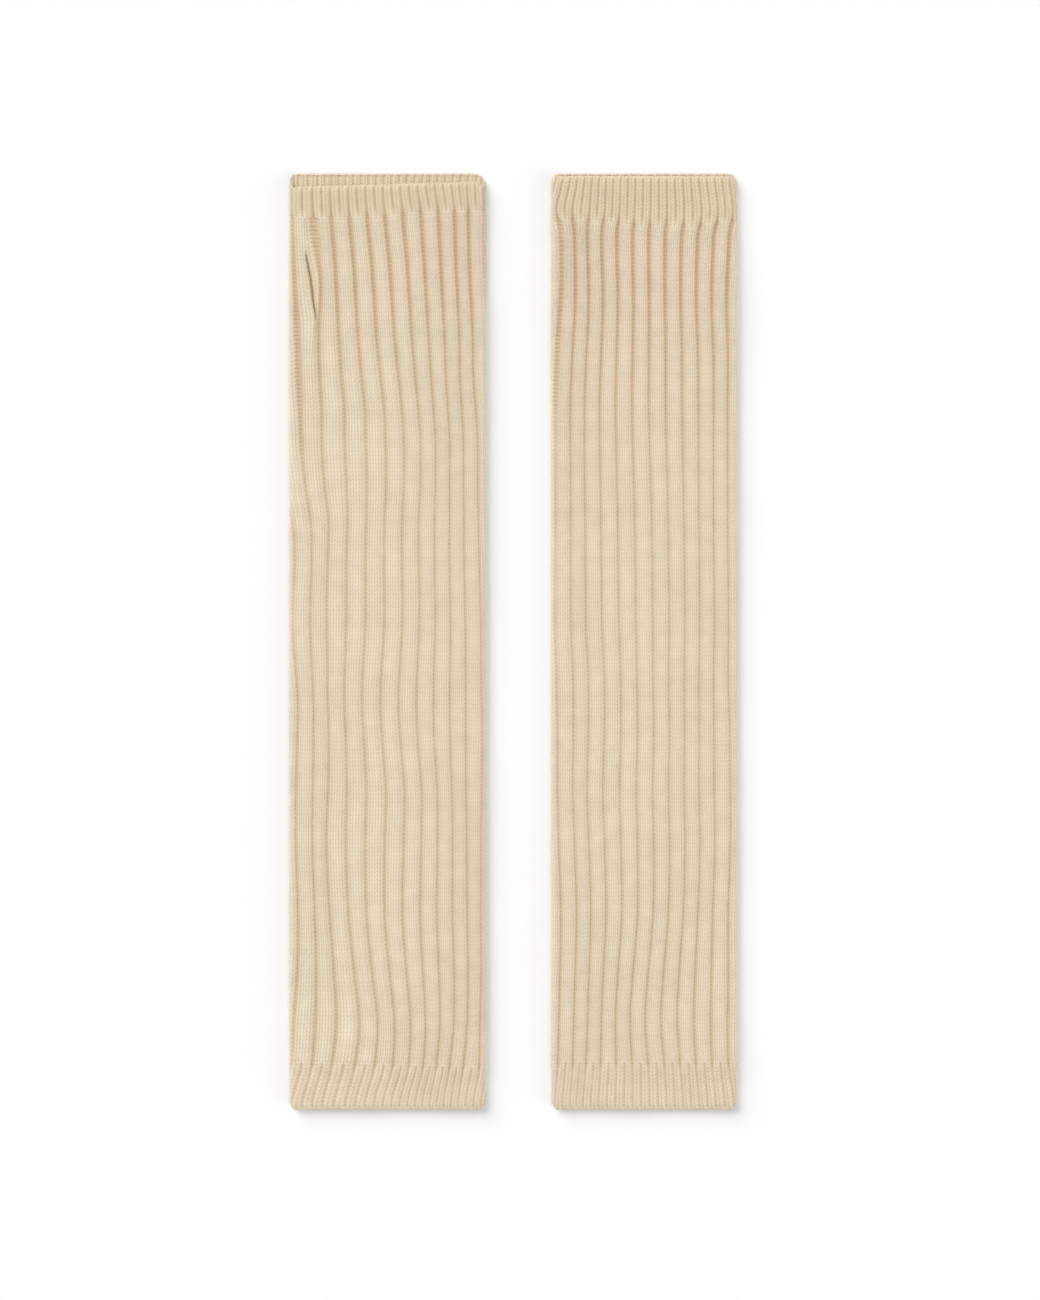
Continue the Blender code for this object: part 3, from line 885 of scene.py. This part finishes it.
wool = {
    "light": (0.872, 0.762, 0.593),  # the crest of a rib
    "deep": (0.45, 0.29, 0.13),  # painted shade: the colour at the bottom of a groove
    # painted bounce light: the warmer, brighter colour inside the glove, where little light reaches
    "inside": (1.0, 0.8, 0.5),
    # how far the colour goes towards deep: painted shade in the grooves, between the stitches and at the hand
    # rim, and a darker cuff
    "grooveShade": 0.64,
    "grooveSpread": 1.2,
    "openLift": 0.35,  # how much less painted shade a stretched groove has
    # painted shade in the hollows between the stitches' legs
    "stitchShade": 0.42,
    "cuffShade": 0.1,
    # painted shade on the hand rim, whose edge turns up to the light
    "rimShade": 0.12,
    # noises: scale and detail, per metre or, for the ribs, per stitch column
    "drift": (22, 2),
    "patches": (140, 4),
    "fibres": (2400, 3),
    "ribTone": (0.21, 1),
    # how much of each noise is in the tone, and the tone of plain wool
    "driftTone": 0.6,
    "patchTone": 2.7,
    "fibreTone": 2.4,
    "plainTone": 3.35,
    "mottle": 0.07,
    # the yarn's plies, in turns a row and a stitch column, and how high plies and fibres stand
    "pliesUp": 3.0,
    "pliesAcross": 5.0,
    "plyHeight": 0.5,
    "fibreHeight": 1.4,
    "stitchBump": 0.22 * mm,
    "yarnBump": 0.05 * mm,
    "finish": {
        "Roughness": 0.88,
        "Sheen Weight": 0.5,
        "Sheen Roughness": 0.5,
        "Sheen Tint": (1.0, 0.95, 0.86, 1),
        "Specular IOR Level": 0.25,
    },
}


def makeWool():
    # reads the knit's own map, and the values that its points carry
    material = bpy.data.materials.new("creamWool")
    material.use_nodes = True
    tree = material.node_tree

    def attribute(name):
        return Value(tree, addNode(tree, "ShaderNodeAttribute", attribute_name=name).outputs["Fac"])

    def noise(vector, name):
        inputs = {"Vector": vector, "Scale": wool[name][0], "Detail": wool[name][1]}
        return Value(tree, addNode(tree, "ShaderNodeTexNoise", inputs).outputs["Fac"])

    place = addNode(tree, "ShaderNodeTexCoord").outputs["Object"]
    knitMap = addNode(tree, "ShaderNodeUVMap", uv_map="knitMap").outputs["UV"]
    split = addNode(tree, "ShaderNodeSeparateXYZ", {0: knitMap})
    across, up = (Value(tree, split.outputs[axis]) for axis in "XY")
    opened = attribute("opened")
    bars = 1 - (1 - abs((up * math.pi).by("SINE"))) * mixed(knitSizes["Closed Bars"], 1.0, opened)
    stitch = mixed(bars, knitStitch(across, up), attribute("knit"))

    # the yarn's plies wind round each leg, and fibres run all over it
    windings = up * wool["pliesUp"] + abs(across.by("FRACT") - 0.5) * wool["pliesAcross"]
    fibres = noise(place, "fibres")
    yarn = fibres * wool["fibreHeight"] + abs((windings * math.pi).by("SINE")) * wool["plyHeight"]
    form = addNode(tree, "ShaderNodeBump", {"Height": stitch, "Distance": wool["stitchBump"]})
    inputs = {"Height": yarn, "Distance": wool["yarnBump"], "Normal": form.outputs["Normal"]}
    fine = addNode(tree, "ShaderNodeBump", inputs)

    # painted shade between the ribs, in between the stitches and at the hand rim, a darker cuff, and painted
    # warm bounce light inside
    groove = attribute("grooveDepth").by("POWER", wool["grooveSpread"]) * wool["grooveShade"]
    shade = groove * (1 - opened * wool["openLift"]) + (1 - stitch) * wool["stitchShade"]
    shade = shade + attribute("cuffness") * wool["cuffShade"] + attribute("rim") * wool["rimShade"]
    colour = (*wool["light"], 1)
    for tint, factor in (("deep", shade), ("inside", attribute("inside"))):
        inputs = {0: factor, 6: colour, 7: (*wool[tint], 1)}
        colour = addNode(tree, "ShaderNodeMix", inputs, data_type="RGBA", clamp_factor=True).outputs[2]

    # wool isn't one even colour: slow drifts, small patches, ribs a little apart, single fibres
    tone = noise(knitMap, "ribTone") + noise(place, "drift") * wool["driftTone"]
    tone = tone + fibres * wool["fibreTone"] + noise(place, "patches") * wool["patchTone"]
    bright = (tone - wool["plainTone"]) * wool["mottle"] + 1.0
    toned = addNode(tree, "ShaderNodeHueSaturation", {"Color": colour, "Value": bright})
    made = {"Base Color": toned.outputs["Color"], "Normal": fine.outputs["Normal"]}
    setInputs(tree, tree.nodes["Principled BSDF"], {**made, **wool["finish"]})
    return material


# The bound edges: a chain of small loops along each rim and round each thumb slit
chain = {
    "length": 2.3,  # of a loop; the next one starts under its end
    "overlap": 1.1,
    "smallest": 0.6,  # share of a loop's size where the edge bends sharply
    "unevenness": 0.08,
    "yarn": 0.22,  # radius of the yarn
    "sink": 0.3,  # how deep the loops lie in the edge
    "lean": 0.75,  # how far those on the upper layer lean back, in radians
    "clearance": 0.5,  # the middle of a loop stays this high above the table
    "shade": {"hand": 0.6, "arm": 0.25},  # how much painted shade the loops have, as a share of a groove's; more on the hand rims, which face the light
    "seed": 9,
    "slitLength": 2.0,
    "slitShare": 0.9,  # of a loop's size
    "fromLip": 0.5,
    "lipRib": 8.0,  # about how wide the rib beside a lip is
    "onLip": 0.3,  # how far a loop stands off, in radii of the yarn
}
# a loop of length 1
loopForm = {"reach": 1.25, "gap": 0.05, "width": 0.2, "roundness": 0.8, "arch": 0.1, "tip": 0.55}
loopSides, loopStations = 4, 6


def chainLoop():
    # one loop, seen from above a pointed drop: two legs of yarn
    points, faces = [], []
    for leg in (-1, 1):
        start = len(points)
        for i in range(loopStations):
            t = i / (loopStations - 1)
            bulge = math.sin(math.pi * t)
            x = leg * (loopForm["gap"] + loopForm["width"] * bulge ** loopForm["roundness"])
            y, z = (t - 0.5) * loopForm["reach"], loopForm["arch"] * bulge
            thick = chain["yarn"] / chain["length"] * notBelow(loopForm["tip"], bulge)
            for j in range(loopSides):
                turn = 2 * math.pi * (j + 0.5) / loopSides
                points.append((x + thick * math.cos(turn), y, z + thick * math.sin(turn)))
        for i in range(loopStations - 1):
            for j in range(loopSides):
                a, b = start + i * loopSides + j, start + i * loopSides + (j + 1) % loopSides
                faces.append((a, a + loopSides, b + loopSides, b))
        faces.append([start + j for j in range(loopSides)])
        faces.append([start + (loopStations - 1) * loopSides + j for j in range(loopSides)][::-1])
    mesh = bpy.data.meshes.new("chainLoop")
    mesh.from_pydata(points, [], faces)
    knitMap = mesh.uv_layers.new(name="knitMap")
    knitMap.data.foreach_set("uv", [0.25, 0.5] * len(mesh.loops))  # the crest of a stitch
    mesh.shade_smooth()
    return addObject("chainLoop", mesh)


def chainTree(loop, material):
    # one loop on each point, turned to run along the edge and face out of it
    tree, points, size = newTree("edgeChain", ("Size", "Unevenness", "Seed"))
    info = addNode(tree, "GeometryNodeObjectInfo", {"Object": loop})
    facing, along = (named(tree, name, "FLOAT_VECTOR") for name in ("facing", "along"))
    inputs = {"Primary Axis": facing, "Secondary Axis": along}
    turn = addNode(tree, "FunctionNodeAxesToRotation", inputs, primary_axis="Z", secondary_axis="Y")
    # from -1 to 1
    random = addNode(tree, "FunctionNodeRandomValue", {2: -1, 3: 1, "Seed": size["Seed"]}, data_type="FLOAT")
    uneven = Value(tree, random.outputs[1]) * size["Unevenness"] + 1.0
    inputs = {
        "Points": points,
        "Instance": info.outputs["Geometry"],
        "Rotation": turn.outputs["Rotation"],
        "Scale": uneven * size["Size"] * named(tree, "size"),
    }
    place = addNode(tree, "GeometryNodeInstanceOnPoints", inputs)
    return finishTree(tree, place.outputs["Instances"], material)


def chainPiece(glove, part, shade, tree, points, along, facing, size):
    mesh = bpy.data.meshes.new(f"{glove['name']}_{part}_chain")
    points[:, 2] = np.maximum(points[:, 2], chain["clearance"])
    mesh.from_pydata(onTable(glove, points), [], [])
    storeValues(mesh, "along", along, "FLOAT_VECTOR")
    storeValues(mesh, "facing", facing, "FLOAT_VECTOR")
    storeValues(mesh, "size", size)
    sizes = {"Size": chain["length"] * mm, "Unevenness": chain["unevenness"], "Seed": chain["seed"]}
    piece = applyTree(addObject(mesh.name, mesh), tree, sizes)
    # painted shade on the loops, through the value that sets the grooves' painted shade
    storeValues(piece.data, "grooveDepth", np.full(len(piece.data.vertices), shade))
    return piece


def rimChain(glove, end, tree):
    # round the tube at the rim, on the side of the edge that faces up
    atHand = end == "hand"
    way = 1 if atHand else -1
    units = cloth["ribsAround"] * unitsPerRib
    start = groovePlaces(glove, np.array([handEnd if atHand else 0.0]))[0, 0]
    x, outX, outZ = aroundTube(glove, start + glove["perimeter"] * np.arange(units) / units)
    rim = rimHeights(glove, x + outX * sideRadius, outZ, end)
    lean = math.pi / 2 - chain["lean"] * outZ
    half = (cloth["wall"] - cuff["rimInset"]) / 2
    offset = cloth["insideGap"] / 2 + half + (half - chain["sink"]) * np.cos(lean)
    height = rim - way * cuff["edgeRadius"] + way * (cuff["edgeRadius"] - chain["sink"]) * np.sin(lean)
    points = spotsOnTube(glove, x, outX, outZ, height, offset)
    step = np.roll(points, -1, 0) - np.roll(points, 1, 0)
    length = np.linalg.norm(step, axis=1)
    step = step / length[:, None]
    facing = np.stack([outX * np.cos(lean), way * np.sin(lean), outZ * np.cos(lean)], 1)
    facing -= step * (facing * step).sum(1)[:, None]
    size = np.clip(length / 2 / chain["length"] * chain["overlap"], chain["smallest"], 1.0)
    return chainPiece(glove, f"{end}_rim", chain["shade"][end], tree, points, step, facing, size)


def slitChain(glove, tree):
    # up one lip of the thumb slit and down the other
    slit = glove["slit"]
    low, high = glove["slitHeights"]
    count = round((high - low) / chain["slitLength"])
    heights = low + (np.arange(count) + 0.5) / count * (high - low)
    lips = []
    for lip in (-1, 1):
        column = {"rib": slit["rib"], "at": slit["unit"], "part": "front", "lip": lip}
        place, across = placeColumns(glove, [column], heights, False)
        x, outX, outZ = aroundTube(glove, place[:, 0] + lip * chain["fromLip"])
        relief, depth = reliefShares(outZ)
        beside = np.clip(across[:, 0] + lip * chain["fromLip"] / chain["lipRib"], 0, 1)
        crown = np.sqrt(1 - np.abs(2 * beside - 1) ** knitSizes["Rib Roundness"])
        thinner = thinning(glove, heights, slit["rib"], slit["unit"] + 0.2)
        offset = sideRadius - depth - thinner + relief * cloth["wideRelief"] * crown
        spots = spotsOnTube(glove, x, outX, outZ, heights, offset + chain["onLip"] * chain["yarn"])
        step = np.gradient(spots, axis=0)
        step = step / np.linalg.norm(step, axis=1)[:, None]
        lips.append((spots, step, np.stack([outX, outX * 0, outZ], 1)))
    size = np.full(2 * count, chain["slitLength"] / chain["length"]) * chain["slitShare"]
    lists = [np.concatenate(both) for both in zip(*lips)]
    return chainPiece(glove, "thumb_slit", chain["shade"]["hand"], tree, *lists, size)


# The set: a white table, a large soft light from the upper left, two weaker ones and a bright room
view = {
    "lens": 100.0,
    "sensor": 36.0,
    "pixelsHigh": 1300,
    "glovesHigh": 936,  # the gloves' length in the picture, of its height
    "shift": (3.4, -4.2),  # mm, from the middle of the pair to the middle of the picture
}
lights = {
    # tilt is from straight down, and turn is where it comes from, counted from +X
    "softSun": {"strength": 2.65, "angle": 50.0, "tilt": 58.0, "turn": 134.0},
    "topFill": {"strength": 0.72, "angle": 40.0, "tilt": 18.0, "turn": -20.0},
    "lowFill": {"strength": 1.35, "angle": 50.0, "tilt": 75.0, "turn": -20.0},
}
room = {"strength": 0.28, "table": 0.94, "tableRoughness": 0.9, "tableHalf": 8.0, "tableBelow": 0.2 * mm}


def makeSet():
    scene = bpy.context.scene
    camera = addObject("camera", bpy.data.cameras.new("camera"))
    camera.data.lens = view["lens"]
    camera.data.sensor_width = view["sensor"]
    frameHeight = handEnd * view["pixelsHigh"] / view["glovesHigh"] * mm
    shift = [part * mm for part in view["shift"]]
    camera.location = (pairLow + pairHigh) / 2 + Vector((*shift, frameHeight * view["lens"] / view["sensor"]))
    scene.camera = camera

    table = bpy.data.meshes.new("table")
    corners = [(-1, -1), (1, -1), (1, 1), (-1, 1)]
    corners = [(x * room["tableHalf"], y * room["tableHalf"], -room["tableBelow"]) for x, y in corners]
    table.from_pydata(corners, [], [(0, 1, 2, 3)])
    surface = bpy.data.materials.new("paleTable")
    surface.use_nodes = True
    finish = {"Base Color": (*[room["table"]] * 3, 1), "Roughness": room["tableRoughness"]}
    setInputs(surface.node_tree, surface.node_tree.nodes["Principled BSDF"], finish)
    table.materials.append(surface)
    addObject("table", table)

    for name, light in lights.items():
        lamp = addObject(name, bpy.data.lights.new(name, "SUN"))
        lamp.data.energy = light["strength"]
        lamp.data.angle = math.radians(light["angle"])
        turn, tilt = math.radians(light["turn"]), math.radians(light["tilt"])
        source = Vector((math.cos(turn) * math.sin(tilt), math.sin(turn) * math.sin(tilt), math.cos(tilt)))
        lamp.rotation_euler = source.to_track_quat("Z", "Y").to_euler()
    world = bpy.data.worlds.new("brightRoom")
    world.use_nodes = True
    light = {"Color": (1, 1, 1, 1), "Strength": room["strength"]}
    setInputs(world.node_tree, world.node_tree.nodes["Background"], light)
    scene.world = world
    scene.view_settings.view_transform = "Standard"


makeSet()
print("set and camera ready")

creamWool = makeWool()
knit = knitTree(creamWool)
loop = chainLoop()
edge = chainTree(loop, creamWool)
for name in gloves:
    glove = measureGlove(name)
    chains = {f"{end}_cuff": rimChain(glove, end, edge) for end in ("hand", "arm")}
    nets = {
        "body": bodyNet(glove),
        "hand_cuff": cuffNet(glove, "hand"),
        "arm_cuff": cuffNet(glove, "arm"),
    }
    chains["body"] = slitChain(glove, edge)
    for part, net in nets.items():
        piece = applyTree(net.build(f"{name}_{part}_knit"), knit, knitSizes)
        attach(piece, "root")
        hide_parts(f"{name}_{part}")
        low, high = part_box(f"{name}_{part}")
        flat = (glove["perimeter"] * mm, high.y - low.y)
        print(piece.name, len(piece.data.polygons), "faces")
    for piece in chains.values():
        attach(piece, "root")
bpy.data.objects.remove(loop)
print("both gloves knitted")
